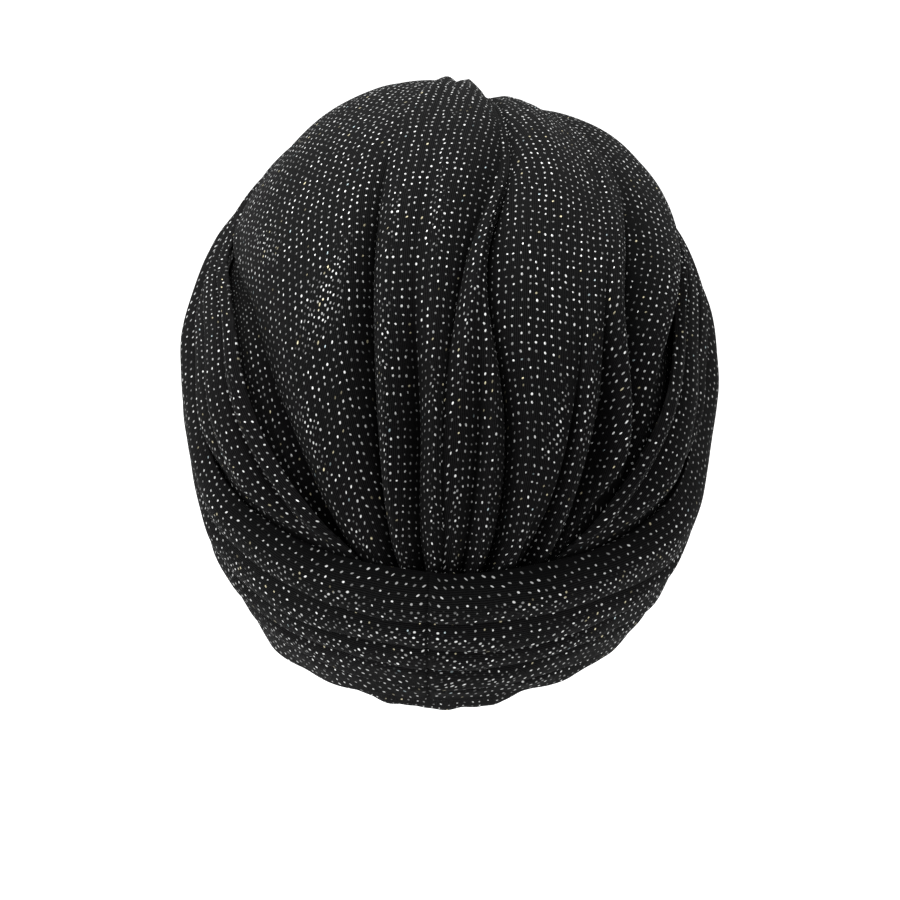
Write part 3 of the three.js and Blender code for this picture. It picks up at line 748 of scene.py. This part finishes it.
def foldLevel(turn, row):
    if row["name"] == "last":
        return hemTop(turn)
    nape = mix(levels["topNape"], levels["rimNape"], row["nape"])
    front = mix(levels["topFront"], levels["rimFront"], row["front"])
    stray = noise.noise(Vector((turn * 2.2, row["nape"] * 9, 1.5))) * lowerMesh["wander"]
    droop = row["sag"] * ease(turn, radians(30), radians(60)) * (1 - ease(turn, radians(80), radians(150)))
    return level(turn, nape, front, row["hold"]) + stray - droop


def lowerProfile(turn):
    # points down the cloth: level and lift above the dome, through the rolled top edge and each fold
    d = lowerMesh
    stray = noise.noise(Vector((turn * 2.6, 3.7, 0.4))) * 1.6
    stray += noise.noise(Vector((turn * 8, 1.7, 0.9))) * 0.5
    top = topLevel(turn) + stray * mm
    rim = rimLevel(turn)
    gathered = mix(1, d["frontPleats"], ease(abs(turn), pi / 2, pi))

    def rest(z):
        return mix(lowerOutside, 0, ease((top - z) / (top - rim), 0.2, 1))
    roll = d["roll"]
    points = [(top - 6 * mm, -2 * roll), (top - 1.5 * roll, -2 * roll), (top, -roll),
              (top - 1.2 * roll, 0.1 * mm)]
    points = [(z, rest(z) + lift) for z, lift in points]
    upper = top - 2 * roll
    start = 0.35
    for i, row in enumerate(lowerFolds):
        edge = foldLevel(turn, row)
        depth = cloth["pleatDepth"] * gathered
        bulge = mix(max(start, 0), row["lift"], 0.75) * depth
        points.append((mix(upper, edge, 0.4), rest(mix(upper, edge, 0.4)) + bulge))
        points.append((mix(upper, edge, 0.75), rest(mix(upper, edge, 0.75)) + row["lift"] * depth * 1.04))
        points.append((edge, rest(edge) + row["lift"] * depth * 0.9))
        if row["name"] != "last":
            points.append((edge - 0.3 * mm, rest(edge) + mix(row["behind"], row["lift"], 0.45) * depth))
            points.append((edge + row["tuckUp"] * gathered, rest(edge) + row["behind"] * depth))
            upper = edge + row["tuckUp"] * gathered * 0.6
            start = row["behind"]
    return points


def splinePoint(points, place):
    # a smooth curve through the points, two numbers each
    i = min(int(place), len(points) - 2)
    x = place - i
    a, b, c, d = (points[min(max(i + k, 0), len(points) - 1)] for k in (-1, 0, 1, 2))
    out = []
    for k in (0, 1):
        out.append(0.5 * (2 * b[k] + (c[k] - a[k]) * x + (2 * a[k] - 5 * b[k] + 4 * c[k] - d[k]) * x * x
                          + (3 * b[k] - a[k] - 3 * c[k] + d[k]) * x ** 3))
    return out


def makeLowerWrap(name, node, start, end):
    d = lowerMesh
    profiles = [lowerProfile(mix(start, end, c / d["columns"])) for c in range(d["columns"] + 1)]
    gaps = len(profiles[0]) - 1
    rows = gaps * d["perStep"]

    def pointAt(down, over):
        c = round(over * d["columns"])
        turn = mix(start, end, over)
        place = down * gaps
        z, lift = splinePoint(profiles[c], place)
        uneven = noise.noise(Vector((turn * 3.1, down * 14, 2.5))) * 1.1 * mm
        uneven += noise.noise(Vector((turn * 8, down * 12, 8.5))) * 0.6 * mm
        uneven -= d["seamDip"] * (1 - ease(abs(over * (end - start)), 0, d["seamTurn"]))
        base = domePoint(turn, z)
        return base + domeNormal(base) * (lift + uneven * ease(down, 0.05, 0.2) - settle(turn))
    piece = clothMesh(name, rows, d["columns"], pointAt, refRow=rows // 3, turned=True)
    giveThickness(piece, cloth["sheet"])
    finishPiece(piece, bandKnit, "fleck_knit", node)
    return piece


lowerSeam = lowerMesh["seam"]
makeLowerWrap("lower_wrap_left_cloth", "lower_wrap_left", lowerSeam, -pi)
makeLowerWrap("lower_wrap_right_cloth", "lower_wrap_right", lowerSeam, pi)
print("lower wraps ready")

hemMesh = {
    "ripples": 24,
    "columns": 480,
    "rows": 12,
    "ripple": 0.8 * mm,
    "tuck": 8 * mm,
    "sheet": 1.6 * mm,
    "flat": (0.50, 0.016),
}


def makeHem():
    d = hemMesh

    def pointAt(down, over):
        turn = over * 2 * pi - pi
        z = mix(hemTop(turn) + d["tuck"], rimLevel(turn), down)
        wave = (1 - cos(over * d["ripples"] * 2 * pi)) / 2
        small = noise.noise(Vector((cos(turn) * 14, sin(turn) * 14, 4.0))) * 0.5 * mm
        base = domePoint(turn, z)
        lift = hemOutside - (d["ripple"] * wave + small) * ease(down, 0.1, 0.6)
        return base + domeNormal(base) * (lift - settle(turn))
    piece = clothMesh("rim_hem_cloth", d["rows"], d["columns"], pointAt, ring=True)
    giveThickness(piece, d["sheet"])
    finishPiece(piece, hemKnit, "elastic_hem", "rim_hem")
    return piece


makeHem()
print("hem ready")

knotMesh = {
    "halfWidth": 29 * mm,
    "halfHeight": 19 * mm,
    "thickness": 11 * mm,
    "gathers": 3.6,            # half turns of the gathers from the middle to one side
    "relief": 2.6 * mm,
    "edgeDip": 4 * mm,         # how deep its sides are tucked in
    "z": 37 * mm,
    "faces": 72,
    "sheet": 1.6 * mm,
    "flat": (0.075, 0.065),
}


def makeKnot():
    d = knotMesh

    def pointAt(down, over):
        a, b = 2 * over - 1, 1 - 2 * down
        z = d["z"] + d["halfHeight"] * b * (1 - 0.2 * a * a)
        across = d["halfWidth"] * (0.85 + 0.15 * b * b) * a
        narrowing = domePoint(0, z).y / dome["halfDepth"]
        base = domePoint(pi - asin(across / (dome["halfWidth"] * narrowing)), z)
        overLower = lowerOutside + cloth["pleatDepth"] * lowerMesh["frontPleats"]
        beneath = mix(upperOutside, overLower, ease(underWrap(base), -cloth["press"] / 2, 0))
        bulge = sqrt(max(1 - abs(a) ** 2.6, 0)) * sqrt(max(1 - b ** 4, 0))
        bend = a * (1 - 0.45 * cos(b * pi)) + 0.12 * b + noise.noise(Vector((a * 2, b * 2, 9.0))) * 0.07
        gathers = d["relief"] * (abs(cos(bend * d["gathers"] * pi)) * 2 - 1.2) * (1 - a ** 4)
        small = noise.noise(Vector((a * 6 + b, b * 1.5, 6.0))) * 0.8 * mm
        thick = cloth["wall"] + (d["thickness"] - cloth["wall"] + gathers + small) * bulge
        thick -= d["edgeDip"] * max(ease(abs(a), 0.9, 1), ease(abs(b), 0.9, 1))
        return base + domeNormal(base) * (beneath + cloth["gap"] + thick - settle(turnOf(base)))
    piece = clothMesh("front_knot_cloth", d["faces"], d["faces"], pointAt, refRow=d["faces"] // 2)
    giveThickness(piece, d["sheet"])
    finishPiece(piece, wrapKnit, "fleck_knit", "front_knot")
    return piece


makeKnot()
print("knot ready")


# Floor, light and camera
studio = {
    "floorDrop": 0.40,
    "floorSize": 12.0,
    "world": 0.85,
    "camera": {"elevation": radians(30), "roll": radians(2), "distance": 1.5, "lens": 163.8, "sensor": 36.0,
               "pixel": (452, 374), "image": 900},
}


def makeFloor():
    bm = bmesh.new()
    bmesh.ops.create_grid(bm, x_segments=4, y_segments=4, size=studio["floorSize"])
    bmesh.ops.translate(bm, vec=(0, 0, cadBox[0][2] - studio["floorDrop"]), verts=bm.verts)
    mesh = bpy.data.meshes.new("floor")
    bm.to_mesh(mesh)
    bm.free()
    floor = bpy.data.objects.new("floor", mesh)
    bpy.context.scene.collection.objects.link(floor)
    pale = bpy.data.materials.new("pale floor")
    pale.use_nodes = True
    pale.node_tree.nodes["Principled BSDF"].inputs["Base Color"].default_value = (0.93, 0.93, 0.93, 1)
    pale.node_tree.nodes["Principled BSDF"].inputs["Roughness"].default_value = 0.9
    mesh.materials.append(pale)


def makeLights():
    world = bpy.data.worlds.new("studio")
    bpy.context.scene.world = world
    world.use_nodes = True
    world.node_tree.nodes["Background"].inputs[0].default_value = (1, 1, 1, 1)
    world.node_tree.nodes["Background"].inputs[1].default_value = studio["world"]
    for name, place, size, power in (
        ("top light", (0.35, -0.45, 1.5), 0.7, 34),
        ("back left light", (1.3, 1.0, 1.2), 0.6, 14),
    ):
        light = bpy.data.lights.new(name, "AREA")
        light.size = size
        light.energy = power
        lamp = bpy.data.objects.new(name, light)
        lamp.location = place
        lamp.rotation_euler = (middle - Vector(place)).to_track_quat("-Z", "Y").to_euler()
        bpy.context.scene.collection.objects.link(lamp)


def makeCamera():
    d = studio["camera"]
    toCamera = Vector((0, cos(d["elevation"]), sin(d["elevation"])))
    imageUp = Vector((0, -sin(d["elevation"]), cos(d["elevation"])))
    right = aside * cos(d["roll"]) + imageUp * sin(d["roll"])
    up = imageUp * cos(d["roll"]) - aside * sin(d["roll"])
    perPixel = d["distance"] * d["sensor"] / d["lens"] / d["image"]
    centre = d["image"] / 2
    target = middle - right * (d["pixel"][0] - centre) * perPixel + up * (d["pixel"][1] - centre) * perPixel
    place = middle + toCamera * d["distance"]
    forward = (target - place).normalized()
    side = forward.cross(up).normalized()
    top = side.cross(forward)
    turn = Matrix((side, top, -forward)).transposed()
    data = bpy.data.cameras.new("camera")
    data.lens = d["lens"]
    data.sensor_width = d["sensor"]
    camera = bpy.data.objects.new("camera", data)
    camera.matrix_world = Matrix.Translation(place) @ turn.to_4x4()
    bpy.context.scene.collection.objects.link(camera)
    bpy.context.scene.camera = camera


makeFloor()
makeLights()
makeCamera()
bpy.context.scene.view_settings.view_transform = "Standard"
print("studio ready")
